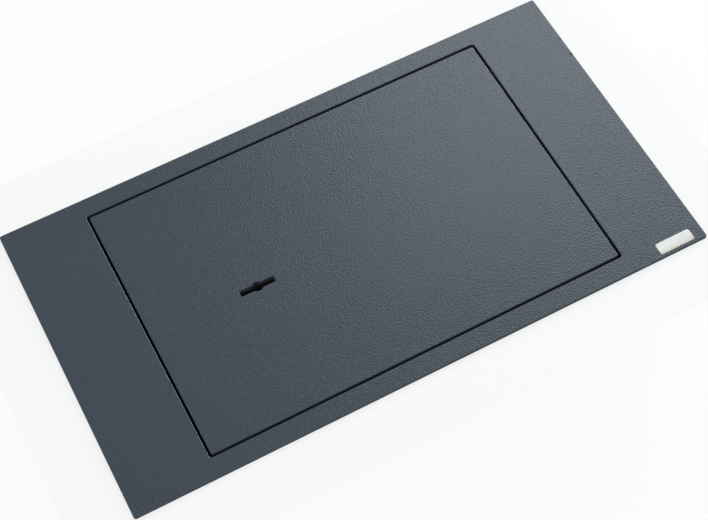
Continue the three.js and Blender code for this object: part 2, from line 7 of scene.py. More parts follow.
import bmesh
import bpy
import numpy as np
from mathutils import Matrix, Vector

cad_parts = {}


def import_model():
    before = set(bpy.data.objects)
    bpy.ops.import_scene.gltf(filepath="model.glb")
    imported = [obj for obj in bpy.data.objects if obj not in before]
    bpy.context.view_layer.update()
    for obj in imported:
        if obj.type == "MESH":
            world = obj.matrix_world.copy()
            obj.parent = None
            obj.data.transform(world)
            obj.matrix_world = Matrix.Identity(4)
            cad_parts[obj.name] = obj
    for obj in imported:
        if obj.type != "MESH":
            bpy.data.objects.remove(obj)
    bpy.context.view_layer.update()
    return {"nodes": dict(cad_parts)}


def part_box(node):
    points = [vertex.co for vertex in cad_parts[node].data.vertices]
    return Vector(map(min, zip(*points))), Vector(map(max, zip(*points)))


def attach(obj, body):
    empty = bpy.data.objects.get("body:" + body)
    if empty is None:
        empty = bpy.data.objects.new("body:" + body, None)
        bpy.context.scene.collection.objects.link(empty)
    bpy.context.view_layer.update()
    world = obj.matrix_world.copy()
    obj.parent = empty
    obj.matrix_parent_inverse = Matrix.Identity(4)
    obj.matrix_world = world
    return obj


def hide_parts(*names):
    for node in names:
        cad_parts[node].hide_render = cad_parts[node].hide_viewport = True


MM = 0.001
TAU = 2.0 * math.pi

# The photograph's camera, from the middle of the faceplate's top
CAMERA_PLACE = np.array([-0.2556, -0.5493, 1.0514])
CAMERA_RIGHT = (0.8851, -0.4647, -0.0254)
CAMERA_UP = (0.4173, 0.7682, 0.4855)
CAMERA_BACK = (-0.2061, -0.4403, 0.8739)
CAMERA_LENS_MM = 80.14
SENSOR_MM = 36.0

# Colours as they look on screen
SLATE = (0.203, 0.243, 0.289)
SLATE_PALE = (0.226, 0.267, 0.309)
# Painted shade in the coat's pits
SLATE_PIT = (0.13, 0.155, 0.185)
# Painted shade: the faceplate's edges, dark where they stand in the gap round the lid and along the near edge
EDGE_SHADE = (0.17, 0.185, 0.205)
LID_EDGE = (0.22, 0.245, 0.27)
SLOT_EDGE = (0.28, 0.25, 0.25)
CHIP = (0.10, 0.115, 0.13)
ZINC = (0.62, 0.635, 0.645)
ZINC_WARM = (0.605, 0.61, 0.595)
TURNED = (0.52, 0.53, 0.545)
OILED = (0.42, 0.36, 0.27)
BLACKED = (0.215, 0.20, 0.195)
BLACKED_WORN = (0.30, 0.29, 0.285)
BRASS = (0.72, 0.58, 0.35)
BRASS_DULL = (0.52, 0.41, 0.25)
FELT = (0.27, 0.285, 0.315)
FELT_PALE = (0.43, 0.445, 0.47)
FILM = (0.90, 0.895, 0.88)
FILM_DARKER = (0.80, 0.78, 0.72)
FLOOR_WHITE = (0.92, 0.92, 0.92)
BOARD_EDGE = (0.60, 0.585, 0.56)

# Marks on the faceplate, from its middle: x, y and radius
RIM_NICK = (238.9 * MM, 66.3 * MM, 2.0 * MM)
CORNER_SPECKS = (
    (-223.0 * MM, -122.7 * MM, 1.0 * MM),
    (-223.4 * MM, -124.9 * MM, 1.2 * MM),
    (-235.3 * MM, -123.6 * MM, 1.0 * MM))

# The faceplate's corners, and the gap round the lid
FACE_CORNER = 2.0 * MM
OPENING_CORNER = 2.5 * MM
LID_GAP = 2.0 * MM

# Edge roundings: the faceplate's top, the lid, other sheets, the bolt bar, small parts and the lock's finest
PLATE_ROUNDING = 0.65 * MM
LID_ROUNDING = 0.5 * MM
SHEET_ROUNDING = 0.6 * MM
BAR_ROUNDING = 0.5 * MM
SMALL_ROUNDING = 0.25 * MM
FINE_ROUNDING = 0.125 * MM

# Weld beads: the ripples' spacing, their swell as a share of the bead, and how far they lag at its middle
WELD_PITCH = 1.5 * MM
WELD_RIPPLE = 0.04
WELD_LAG = 0.45
# A slower swell's radians to each ripple, the ends' length in leg lengths, and the root's depth in crowns
WELD_DRIFT = 0.9
WELD_TAPER = 1.6
WELD_ROOT = 0.12
# A fillet's crown as a share of its two legs' sum, and the points along and across a bead
FILLET_CROWN = 0.62
WELD_ROWS_PER_RIPPLE = 5.0
WELD_FEWEST_ROWS = 12
WELD_COLUMNS = 8

# The powder coat: how many mounds, creases, pits and clouds to the metre
GRAIN_PER_METRE = 680.0
CREASES_PER_METRE = 476.0
PITS_PER_METRE = 952.0
CLOUDS_PER_METRE = 11.0
# Heights and depths in its relief, in millimetres
MOUND_HEIGHT = 0.25
CREASE_DEPTH = 0.02
PIT_DEPTH = 0.04
MARK_DEPTH = 0.08
# Its roughness, and what is added to that in creases, on rims, on cut edges and in marks
COAT_ROUGHNESS = 0.19
CREASE_ROUGHNESS = 0.06
RIM_ROUGHNESS = 0.12
EDGE_ROUGHNESS = 0.4
MARK_ROUGHNESS = 0.5
COAT_SPECULAR = 0.32
# Where a cut edge begins over the underside, where it ends under the top, and where the rim ends there
FOOT_FADE = (0.05 * MM, 0.1 * MM)
EDGE_FADE = (0.6 * MM, 0.3 * MM)
RIM_FADE = (0.25 * MM, 0.02 * MM)
# How far from the key's middle the slot's brown edges end
SLOT_FADE = (17.0 * MM, 20.0 * MM)

# Points round each corner of a rounded rectangle, and up each rounding of the faceplate's edge
ARC_POINTS = 9
EDGE_POINTS = 8

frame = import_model()


def lowest(node):
    """The least X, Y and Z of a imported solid."""
    return np.array(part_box(node)[0])


def highest(node):
    """The greatest X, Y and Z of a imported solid."""
    return np.array(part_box(node)[1])


def middle(node):
    """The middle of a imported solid's box."""
    return (lowest(node) + highest(node)) / 2.0


def vector(x=0.0, y=0.0, z=0.0):
    """A vector of which only some parts are given."""
    return np.array([x, y, z])


FACE_LOW = lowest("faceplate")
FACE_HIGH = highest("faceplate")
TOP = FACE_HIGH[2]
LID_LOW = lowest("lid_plate")
LABEL_LOW = lowest("blank_label")
LABEL_HIGH = highest("blank_label")
BOLT_MIDDLE = middle("round_bolt_rear")
KEY_MIDDLE = middle("key_curtain")


def linear(colour):
    """A screen colour as the linear RGBA that shaders take."""
    channels = [c / 12.92 if c <= 0.04045 else ((c + 0.055) / 1.055) ** 2.4 for c in colour]
    return (*channels, 1.0)


# Shader maths

class Signal:
    """A value in a node tree. Python arithmetic on it adds Math nodes."""

    def __init__(self, finish, socket):
        self.finish = finish
        self.socket = socket

    def maths(self, operation, first, second=None, clamp=False):
        values = {0: first} if second is None else {0: first, 1: second}
        settings = {"operation": operation, "use_clamp": clamp}
        return self.finish.node("ShaderNodeMath", settings, values)

    def __add__(self, other):
        return self.maths("ADD", self, other)

    __radd__ = __add__

    def __sub__(self, other):
        return self.maths("SUBTRACT", self, other)

    def __rsub__(self, other):
        return self.maths("SUBTRACT", other, self)

    def __mul__(self, other):
        return self.maths("MULTIPLY", self, other)

    __rmul__ = __mul__

    def __pow__(self, other):
        return self.maths("POWER", self, other)

    def __abs__(self):
        return self.maths("ABSOLUTE", self)

    def most(self, other):
        return self.maths("MAXIMUM", self, other)

    def clipped(self):
        return self.maths("MULTIPLY", self, 1.0, clamp=True)


class Finish:
    """The node tree of a material or the world, and the few ways its nodes are made."""

    def __init__(self, owner):
        owner.use_nodes = True
        self.owner = owner
        self.tree = owner.node_tree
        self.tree.nodes.clear()

    def node(self, kind, settings=None, inputs=None, output=0):
        """Adds a node: its settings first, then the values or links of its sockets."""
        made = self.tree.nodes.new(kind)
        for name, value in (settings or {}).items():
            setattr(made, name, value)
        for key, value in (inputs or {}).items():
            if isinstance(value, Signal):
                self.tree.links.new(value.socket, made.inputs[key])
            else:
                made.inputs[key].default_value = value
        return Signal(self, made.outputs[output]) if made.outputs else None

    def place(self, scale=(1.0, 1.0, 1.0)):
        """Object coordinates in metres, times a scale for each axis."""
        point = self.node("ShaderNodeTexCoord", output="Object")
        return self.node("ShaderNodeMapping", None, {"Vector": point, "Scale": scale})

    def axes(self):
        """Object X, Y and Z in metres."""
        point = self.place()
        return [self.node("ShaderNodeSeparateXYZ", None, {0: point}, axis) for axis in range(3)]

    def noise(self, per_metre, detail=3.0, roughness=0.5, stretch=(1.0, 1.0, 1.0)):
        """Soft noise from 0 to 1, so many times to the metre."""
        values = {"Vector": self.place(stretch), "Scale": per_metre, "Detail": detail, "Roughness": roughness}
        return self.node("ShaderNodeTexNoise", None, values)

    def noise_along(self, distance, per_metre, detail):
        """Noise that changes only with a distance that is itself worked out."""
        values = {"W": distance, "Scale": per_metre, "Detail": detail}
        return self.node("ShaderNodeTexNoise", {"noise_dimensions": "1D"}, values)

    def between(self, low, high, value):
        """0 below low, 1 above high, and straight between."""
        values = {"Value": value, "From Min": low, "From Max": high, "To Min": 0.0, "To Max": 1.0}
        return self.node("ShaderNodeMapRange", {"clamp": True}, values)

    def mix(self, amount, first, second):
        """The first colour at 0 and the second at 1."""
        return self.node("ShaderNodeMix", {"data_type": "RGBA"}, {0: amount, 6: first, 7: second}, 2)

    def surface(self, colour, roughness, height, metallic, **sockets):
        """Ends the material in one Principled shader.

        The height is in millimetres, and underscores in other sockets' names stand for spaces.
        """
        relief = self.node("ShaderNodeBump", None, {"Strength": 1.0, "Distance": MM, "Height": height})
        values = {"Base Color": colour, "Roughness": roughness, "Metallic": metallic, "Normal": relief}
        values.update({name.replace("_", " "): value for name, value in sockets.items()})
        shader = self.node("ShaderNodeBsdfPrincipled", None, values)
        self.node("ShaderNodeOutputMaterial", None, {"Surface": shader})
        return self.owner


def new_finish(name):
    return Finish(bpy.data.materials.new(name))


def away_from(finish, x, y):
    """Distance in the XY plane from a point of it."""
    across, along, _ = finish.axes()
    return ((across - x) ** 2.0 + (along - y) ** 2.0) ** 0.5


def spot(finish, x, y, radius):
    """1 within a small round spot of the XY plane, fading to 0 at its edge."""
    return 1.0 - finish.between(radius * 0.4, radius, away_from(finish, x, y))


def edge_and_rim(finish, sheet_bottom):
    """1 on a sheet's cut edge, and 1 on the edge with the rounded rim at its top. 0 elsewhere for both."""
    up = finish.axes()[2]
    above = finish.between(sheet_bottom + FOOT_FADE[0], sheet_bottom + FOOT_FADE[1], up)
    edge_end = finish.between(TOP - EDGE_FADE[0], TOP - EDGE_FADE[1], up)
    rim_end = finish.between(TOP - RIM_FADE[0], TOP - RIM_FADE[1], up)
    return above * (1.0 - edge_end), above * (1.0 - rim_end)


def edge_shade_or_slot(finish, colour):
    """The given edge colour, which on the faceplate is painted shade, or brown near the key's slot."""
    away = finish.between(SLOT_FADE[0], SLOT_FADE[1], away_from(finish, KEY_MIDDLE[0], KEY_MIDDLE[1]))
    return finish.mix(away, linear(SLOT_EDGE), linear(colour))


def powder_coat(name, sheet_bottom=None, edge=EDGE_SHADE, marks=()):
    """Slate powder coat with a leathery grain: small mounds, winding creases between them and a few pits.

    sheet_bottom is the height of a sheet's underside: from there to the top, the edges have the edge
    colour, which on the faceplate is painted shade, and they and the rim have no mounds and less gloss.
    Each mark is a dark, dull chip.
    """
    finish = new_finish(name)
    mounds = finish.noise(GRAIN_PER_METRE, detail=1.0, roughness=0.4)
    field = finish.noise(CREASES_PER_METRE, detail=1.0)
    creases = 1.0 - finish.between(0.0, 0.05, abs(field - 0.5))
    pits = finish.between(0.68, 0.76, finish.noise(PITS_PER_METRE, detail=0.0))
    cloud = finish.noise(CLOUDS_PER_METRE)
    # Lighter on mounds and in clouds at random, and darker in creases: painted shade in the creases
    tone = (mounds * 0.8 - creases * 0.25 + (cloud - 0.5) * 1.2 + 0.15).clipped()
    colour = finish.mix(tone, linear(SLATE), linear(SLATE_PALE))
    # Darker in pits: painted shade in them
    colour = finish.mix(pits * 0.6, colour, linear(SLATE_PIT))
    roughness = creases * CREASE_ROUGHNESS + COAT_ROUGHNESS
    height = (mounds - 0.5) * MOUND_HEIGHT
    if sheet_bottom is not None:
        on_edge, on_rim = edge_and_rim(finish, sheet_bottom)
        # On the faceplate the edge colour is painted shade, for the gap round the lid and the near edge
        colour = finish.mix(on_edge * 0.85, colour, edge_shade_or_slot(finish, edge))
        roughness = roughness + on_rim * RIM_ROUGHNESS + on_edge * EDGE_ROUGHNESS
        height = height * (1.0 - on_rim)
    height = height - creases * CREASE_DEPTH - pits * PIT_DEPTH
    for x, y, radius in marks:
        mark = spot(finish, x, y, radius)
        colour = finish.mix(mark, colour, linear(CHIP))
        roughness = roughness + mark * MARK_ROUGHNESS
        height = height - mark * MARK_DEPTH
    return finish.surface(colour, roughness, height, metallic=0.0, Specular_IOR_Level=COAT_SPECULAR)


def zinc_plate():
    """Bright zinc: faint warm patches and a fine grain."""
    finish = new_finish("zinc_plate")
    patches = finish.between(0.25, 0.8, finish.noise(60.0))
    grain = finish.noise(1400.0, detail=2.0)
    colour = finish.mix(patches, linear(ZINC), linear(ZINC_WARM))
    roughness = 0.36 + patches * 0.04 + grain * 0.08
    return finish.surface(colour, roughness, grain * 0.006, metallic=1.0)


def oil_stained(finish):
    """Where old oil lies on bare steel, and the steel's colour with it."""
    stain = finish.between(0.5, 0.8, finish.noise(70.0))
    return stain, finish.mix(stain * 0.6, linear(TURNED), linear(OILED))


def turned_bolt_steel():
    """Bright bar off the lathe, with old oil.

    The rings follow the distance along the bolt less that from its middle line, so they run round its
    side and its end face alike.
    """
    finish = new_finish("turned_bolt_steel")
    across, along, up = finish.axes()
    from_middle = ((abs(along) - BOLT_MIDDLE[1]) ** 2.0 + (up - BOLT_MIDDLE[2]) ** 2.0) ** 0.5
    rings = finish.noise_along(across - from_middle, 2600.0, detail=4.0)
    stain, colour = oil_stained(finish)
    roughness = 0.34 + rings * 0.2 + stain * 0.1
    return finish.surface(colour, roughness, rings * 0.02, metallic=1.0)


def drawn_steel():
    """Bare drawn steel: fine streaks along X and a little oil."""
    finish = new_finish("drawn_steel")
    streaks = finish.noise(1.0, detail=4.0, roughness=0.7, stretch=(60.0, 2400.0, 2400.0))
    stain, colour = oil_stained(finish)
    roughness = 0.26 + streaks * 0.18 + stain * 0.1
    return finish.surface(colour, roughness, streaks * 0.01, metallic=1.0)


def blacked_steel():
    """Hardened and blacked steel, rubbed grey in patches."""
    finish = new_finish("blacked_steel")
    rubbed = finish.between(0.50, 0.80, finish.noise(160.0, detail=4.0, roughness=0.6))
    grain = finish.noise(1500.0, detail=2.0)
    colour = finish.mix(rubbed, linear(BLACKED), linear(BLACKED_WORN))
    return finish.surface(colour, 0.5 - rubbed * 0.18, grain * 0.006, metallic=0.4)


def sheet_brass():
    """Rolled brass: streaks along X and dull handling marks."""
    finish = new_finish("sheet_brass")
    streaks = finish.noise(1.0, roughness=0.6, stretch=(120.0, 2600.0, 900.0))
    dull = finish.between(0.45, 0.75, finish.noise(130.0))
    colour = finish.mix(dull, linear(BRASS), linear(BRASS_DULL))
    roughness = 0.26 + dull * 0.2 + streaks * 0.08
    return finish.surface(colour, roughness, streaks * 0.006, metallic=1.0)


def needled_felt():
    """Felt: tangled fibres from two crossed stretched noises, over slow uneven patches."""
    finish = new_finish("needled_felt")
    one_way = finish.noise(1.0, detail=4.0, roughness=0.7, stretch=(2400.0, 500.0, 900.0))
    other_way = finish.noise(1.0, detail=4.0, roughness=0.7, stretch=(500.0, 2400.0, 900.0))
    fibres = one_way.most(other_way)
    patches = finish.noise(38.0)
    tone = (finish.between(0.42, 0.72, fibres) * 0.7 + (patches - 0.5) * 0.8 + 0.15).clipped()
    colour = finish.mix(tone, linear(FELT), linear(FELT_PALE))
    height = fibres * 0.3 + patches * 0.3
    return finish.surface(colour, 0.96, height, metallic=0.0,
                          Sheen_Weight=0.25, Sheen_Roughness=0.5, Specular_IOR_Level=0.2)


def label_film():
    """Blank satin film, darker and yellower towards its near edge and in soft patches."""
    finish = new_finish("label_film")
    along = finish.axes()[1]
    depth = LABEL_HIGH[1] - LABEL_LOW[1]
    near = 1.0 - finish.between(LABEL_LOW[1] + 0.05 * depth, LABEL_LOW[1] + 0.5 * depth, along)
    patches = finish.between(0.4, 0.75, finish.noise(120.0))
    film_darkening = (near * 0.75 + patches * 0.35).clipped()
    colour = finish.mix(film_darkening, linear(FILM), linear(FILM_DARKER))
    height = finish.noise(300.0, detail=2.0) * 0.03
    return finish.surface(colour, 0.42, height, metallic=0.0)


PAINT = powder_coat("slate_powder_coat")
# The faceplate's edges carry painted shade
PAINT_FACEPLATE = powder_coat(
    "slate_powder_coat_faceplate", FACE_LOW[2], EDGE_SHADE, (RIM_NICK, *CORNER_SPECKS))
PAINT_LID = powder_coat("slate_powder_coat_lid", LID_LOW[2], LID_EDGE)
ZINC_PLATE = zinc_plate()
TURNED_BOLT = turned_bolt_steel()
DRAWN_STEEL = drawn_steel()
BLACKED_STEEL = blacked_steel()
SHEET_BRASS = sheet_brass()
NEEDLED_FELT = needled_felt()
LABEL_FILM = label_film()


# Making meshes

def add_piece(name, mesh, material, body, replaced=()):
    """A finished piece: smooth where its faces nearly agree, riding on a body, with its material."""
    mesh.materials.clear()
    mesh.materials.append(material)
    mesh.polygons.foreach_set("use_smooth", np.ones(len(mesh.polygons), dtype=bool))
    mesh.set_sharp_from_angle(angle=math.radians(32.0))
    piece = bpy.data.objects.new(name, mesh)
    bpy.context.scene.collection.objects.link(piece)
    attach(piece, body)
    if replaced:
        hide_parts(*replaced)
    return piece


def closed_mesh(name, points, faces):
    """A mesh from arrays, its doubled points merged and its faces turned outwards."""
    mesh = bpy.data.meshes.new(name)
    mesh.from_pydata(points.tolist(), [], faces.tolist())
    work = bmesh.new()
    work.from_mesh(mesh)
    bmesh.ops.remove_doubles(work, verts=work.verts, dist=1e-6)
    bmesh.ops.dissolve_degenerate(work, edges=work.edges, dist=1e-7)
    bmesh.ops.recalc_face_normals(work, faces=work.faces)
    work.to_mesh(mesh)
    work.free()
    return mesh


def grid_faces(rows, columns, start=0, round_rows=False):
    """Quads of a grid whose columns join up, and whose rows do if asked."""
    last = rows if round_rows else rows - 1
    row, column = np.meshgrid(np.arange(last), np.arange(columns), indexing="ij")
    next_row = (row + 1) % rows
    next_column = (column + 1) % columns
    corners = [row * columns + column, row * columns + next_column,
               next_row * columns + next_column, next_row * columns + column]
    return np.stack(corners, axis=-1).reshape(-1, 4) + start


def rounded_copy(node, body, material, rounding, segments=3):
    """A merged copy of a solid, its flat faces whole again and its edges rounded."""
    mesh = frame["nodes"][node].data.copy()
    mesh.name = node + "_finished"
    work = bmesh.new()
    work.from_mesh(mesh)
    bmesh.ops.remove_doubles(work, verts=work.verts, dist=1e-6)
    bmesh.ops.dissolve_limit(work, angle_limit=math.radians(0.5), verts=work.verts, edges=work.edges)
    work.to_mesh(mesh)
    work.free()
    if "custom_normal" in mesh.attributes:
        mesh.attributes.remove(mesh.attributes["custom_normal"])
    piece = add_piece(node + "_finished", mesh, material, body, [node])
    bevel = piece.modifiers.new("rounded_edges", "BEVEL")
    bevel.width = rounding
    bevel.segments = segments
    bevel.limit_method = "ANGLE"
    bevel.angle_limit = math.radians(40.0)
    bevel.harden_normals = True
    bevel.use_clamp_overlap = True


def rim_points(flat, level):
    """Points of rims laid one after another, each rim at its own height."""
    heights = np.broadcast_to(level[:, None, None], flat.shape[:2] + (1,))
    return np.concatenate([flat, heights], axis=-1)


def turned(node, ending, profile, centre, axis, material, body, steps=64, shape=None):
    """A turned piece in a solid's place: each (along, radius) of the profile is carried round the axis.

    shape(angle, along, radius), where given, returns the radius with flats, threads or knurls.
    """
    along, radius = np.array(profile, dtype=float).T
    angle = np.linspace(0.0, TAU, steps, endpoint=False)
    angles, alongs = np.meshgrid(angle, along)
    _, radii = np.meshgrid(angle, radius)
    if shape is not None:
        radii = np.where(radii > 0.0, shape(angles, alongs, radii), 0.0)
    axis = np.array(axis, dtype=float)
    side = vector(z=1.0) if abs(axis[2]) < 0.5 else vector(x=1.0)
    other = np.cross(axis, side)
    points = (np.array(centre) + alongs[..., None] * axis
              + (radii * np.cos(angles))[..., None] * side + (radii * np.sin(angles))[..., None] * other)
    name = node + "_" + ending
    mesh = closed_mesh(name, points.reshape(-1, 3), grid_faces(len(profile), steps))
    add_piece(name, mesh, material, body, [node])


def bead_size(travels, bends, length, reach):
    """A bead's size over its travel: ripples that lag at its middle, and both ends rounded off to nothing.

    The ends follow a quarter circle, sqrt(1 - (1 - t)^2), over WELD_TAPER times the reach.
    """
    to_end = np.clip(np.minimum(travels, length - travels) / (reach * WELD_TAPER), 0.0, 1.0)
    taper = np.sqrt(np.clip(1.0 - (1.0 - to_end) ** 2, 0.0, 1.0))
    lag = 4.0 * bends * (1.0 - bends)
    ripple = 1.0 + WELD_RIPPLE * np.cos(TAU * (travels / WELD_PITCH - WELD_LAG * lag))
    ripple = ripple + WELD_RIPPLE * np.sin(travels / WELD_PITCH * WELD_DRIFT)
    return taper * ripple


def weld_run(run):
    """Points of one bead, given its start, its end, its two legs and its crown.

    Each section is the curve (1 - b)^2 leg + 2 b (1 - b) crown + b^2 other leg, and a root behind it.
    """
    start, end, first_leg, second_leg, crown = np.array(run)
    length = np.linalg.norm(end - start)
    direction = (end - start) / length
    travel = np.linspace(0.0, length, max(WELD_FEWEST_ROWS, int(length / WELD_PITCH * WELD_ROWS_PER_RIPPLE)))
    travels, bends = np.meshgrid(travel, np.linspace(0.0, 1.0, WELD_COLUMNS), indexing="ij")
    curve = ((1.0 - bends) ** 2)[..., None] * first_leg + (bends ** 2)[..., None] * second_leg
    curve = curve + (2.0 * bends * (1.0 - bends))[..., None] * crown
    reach = max(np.linalg.norm(first_leg), np.linalg.norm(second_leg))
    size = bead_size(travels, bends, length, reach)
    section = start + travels[..., None] * direction + curve * size[..., None]
    root = start + travel[:, None] * direction - crown * WELD_ROOT
    return np.concatenate([section, root[:, None, :]], axis=1)


def welds(name, body, runs):
    """Many beads as one painted piece."""
    all_points, all_faces, count = [], [], 0
    for run in runs:
        points = weld_run(run)
        rows, columns = points.shape[:2]
        all_points.append(points.reshape(-1, 3))
        all_faces.append(grid_faces(rows, columns, count))
        count += rows * columns
    mesh = closed_mesh(name, np.concatenate(all_points), np.concatenate(all_faces))
    add_piece(name, mesh, PAINT, body)


def fillet(start, end, first_leg, second_leg):
    """A run in the corner of two faces, its crown between its legs."""
    return start, end, first_leg, second_leg, (first_leg + second_leg) * FILLET_CROWN


def stitches(start, end, count, length, first_leg, second_leg):
    """Evenly spaced fillets between two points, each of one length."""
    start, end = np.array(start), np.array(end)
    span = np.linalg.norm(end - start)
    direction = (end - start) / span
    for middle_at in np.linspace(length / 2.0, span - length / 2.0, count):
        first = start + direction * (middle_at - length / 2.0)
        last = start + direction * (middle_at + length / 2.0)
        yield fillet(first, last, first_leg, second_leg)


# The box

def sheet_edge(thickness, top_rounding, foot_rounding):
    """Inset and height up a sheet's edge: a quarter circle at its foot and another at its top.

    A first and a last point just past them keep the flat faces flat.
    """
    turn = np.linspace(0.0, TAU / 4.0, EDGE_POINTS)
    past = 0.15 * MM
    foot = foot_rounding * np.stack([1.0 - np.sin(turn), 1.0 - np.cos(turn)], axis=-1)
    head = top_rounding * np.stack([1.0 - np.cos(turn), np.sin(turn) - 1.0], axis=-1) + [0.0, thickness]
    return np.concatenate([[[foot_rounding + past, 0.0]], foot, head, [[top_rounding + past, thickness]]])


def faceplate():
    """The faceplate: its edge's section is carried round the outline, and turned over round the opening."""
    outline = FACE_HIGH[:2]
    opening = highest("lid_plate")[:2] + LID_GAP
    steps = (30, 16)
    edge = sheet_edge(FACE_HIGH[2] - FACE_LOW[2], PLATE_ROUNDING, SHEET_ROUNDING)
    rims = [rounded_rim(outline - inset, FACE_CORNER - inset, steps) for inset in edge[:, 0]]
    rims += [rounded_rim(opening + inset, OPENING_CORNER + inset, steps) for inset in edge[::-1, 0]]
    points = rim_points(np.stack(rims), FACE_LOW[2] + np.concatenate([edge[:, 1], edge[::-1, 1]]))
    faces = grid_faces(points.shape[0], points.shape[1], round_rows=True)
    mesh = closed_mesh("faceplate_sheet", points.reshape(-1, 3), faces)
    add_piece("faceplate_sheet", mesh, PAINT_FACEPLATE, "safe_body", ["faceplate"])


def dress_box():
    """The faceplate, and the painted walls, bars and brackets under it."""
    faceplate()
    for node in ("body_wrap", "end_wall_left", "end_wall_right", "bolt_keeper_bar", "rest_bar_front",
                 "rest_bar_rear", "hinge_bracket_front", "hinge_bracket_rear"):
        rounded_copy(node, "safe_body", PAINT, SHEET_ROUNDING)


def box_welds():
    """Fillets under the faceplate, and corner seams where the walls' ends meet."""
    wrap_low, wrap_high = lowest("body_wrap"), highest("body_wrap")
    under = FACE_LOW[2]
    leg = 2.8 * MM
    down = vector(z=-leg)
    long_inset, short_inset = 6 * MM, 8 * MM
    seam_start, seam_end = 8 * MM, under - 4 * MM
    seam_leg, seam_crown = vector(x=1.6 * MM), 1.3 * MM
    runs = []
    for side, wall in ((-1.0, wrap_low[1]), (1.0, wrap_high[1])):
        start = (wrap_low[0] + long_inset, wall, under)
        end = (wrap_high[0] - long_inset, wall, under)
        runs += stitches(start, end, 7, 32 * MM, vector(y=side * leg), down)
        for seam in (wrap_low[0], wrap_high[0]):
            runs.append(((seam, wall, seam_start), (seam, wall, seam_end), seam_leg, -seam_leg,
                         vector(y=side * seam_crown)))
    for side, wall in ((-1.0, lowest("end_wall_left")[0]), (1.0, highest("end_wall_right")[0])):
        start = (wall, wrap_low[1] + short_inset, under)
        end = (wall, wrap_high[1] - short_inset, under)
        runs += stitches(start, end, 4, 30 * MM, vector(x=side * leg), down)
    welds("box_outside_welds", "safe_body", runs)


def inside_welds():
    """Fillets that hold the rest bars, hinge brackets and keeper bar to the box."""
    leg = 2.2 * MM
    right, down = vector(x=leg), vector(z=-leg)
    runs = []
    for side, name in ((-1.0, "front"), (1.0, "rear")):
        inward = vector(y=-side * leg)
        low, high = lowest("rest_bar_" + name), highest("rest_bar_" + name)
        wall = low[1] if side < 0.0 else high[1]
        start = (low[0] + 10 * MM, wall, low[2])
        end = (high[0] - 20 * MM, wall, low[2])
        runs += stitches(start, end, 5, 24 * MM, inward, down)
        low, high = lowest("hinge_bracket_" + name), highest("hinge_bracket_" + name)
        wall = low[1] if side < 0.0 else high[1]
        start = (high[0], wall, low[2] + 12 * MM)
        end = (high[0], wall, high[2] - 1 * MM)
        runs.append(fillet(start, end, inward, right))
    low, high = lowest("bolt_keeper_bar"), highest("bolt_keeper_bar")
    start = (low[0], low[1] + 10 * MM, high[2])
    end = (low[0], high[1] - 10 * MM, high[2])
    runs += stitches(start, end, 4, 26 * MM, -right, down)
    welds("box_inside_welds", "safe_body", runs)


def rounded_rim(half, corner, side_steps):
    """Points round a rectangle with round corners: a quarter circle at each, and even steps between.

    side_steps gives how many steps there are along X and along Y.
    """
    turns = np.linspace(0.0, TAU / 4.0, ARC_POINTS)
    rim = []
    for x_side, y_side, start in ((1, 1, 0.0), (-1, 1, TAU / 4.0), (-1, -1, TAU / 2.0), (1, -1, TAU * 0.75)):
        centre = np.array([x_side * (half[0] - corner), y_side * (half[1] - corner)])
        rim.append(centre + corner * np.stack([np.cos(start + turns), np.sin(start + turns)], axis=-1))
    sides = []
    for arc, next_arc, steps in zip(rim, rim[1:] + rim[:1], side_steps * 2):
        share = np.linspace(0.0, 1.0, steps + 1)[1:-1, None]
        sides.append(np.concatenate([arc, arc[-1] + share * (next_arc[0] - arc[-1])]))
    return np.concatenate(sides)


def mat_waves(across, along):
    """Slow waves from -1 to 1, in radians to the metre: the mean of crossed ones and a slanting one."""
    crossed = np.sin(across * 31.0) * np.cos(along * 43.0 + 0.8)
    slanting = np.sin(across * 67.0 + along * 12.0 + 1.1)
    return (crossed + slanting) / 2.0


def felt_mat():
    """The mat: rings of a rounded rectangle drawn in to its middle, its top lowered by slow waves.

    Both faces meet in a round at the rim: fall = (1 - sqrt(1 - p^2)) / 2 of the thickness, where p runs
    from 0 to 1 over the rim's width.
    """
    low, high = lowest("floor_mat"), highest("floor_mat")
    half = (high - low) / 2.0
    thickness = high[2] - low[2]
    wave_depth = 0.25 * MM
    rim_width = 1.5 * MM
    corner = 8.0 * MM
    flat_rings, rim_rings = 26, 7
    rim_start = 1.0 - rim_width / half[1]
    reach = np.concatenate([np.linspace(0.0, rim_start, flat_rings),
                            np.linspace(rim_start, 1.0, rim_rings)[1:]])
    flat = reach[:, None, None] * rounded_rim(half, corner, (72, 34))
    past = np.clip((reach - 1.0 + rim_width / half[1]) * half[1] / rim_width, 0.0, 1.0)
    fall = (1.0 - np.sqrt(1.0 - past ** 2))[:, None] * thickness / 2.0
    top = thickness - wave_depth * (1.0 + mat_waves(flat[..., 0], flat[..., 1])) - fall
    bottom = np.broadcast_to(fall, top.shape)
    layers = [np.concatenate([flat, height[..., None]], axis=-1) for height in (top, bottom)]
    centre = (high + low) / 2.0
    points = np.concatenate([layers[0], layers[1][::-1]]) + vector(centre[0], centre[1], low[2])
    mesh = closed_mesh("felt_mat", points.reshape(-1, 3), grid_faces(points.shape[0], points.shape[1]))
    mat = add_piece("felt_mat", mesh, NEEDLED_FELT, "safe_body", ["floor_mat"])


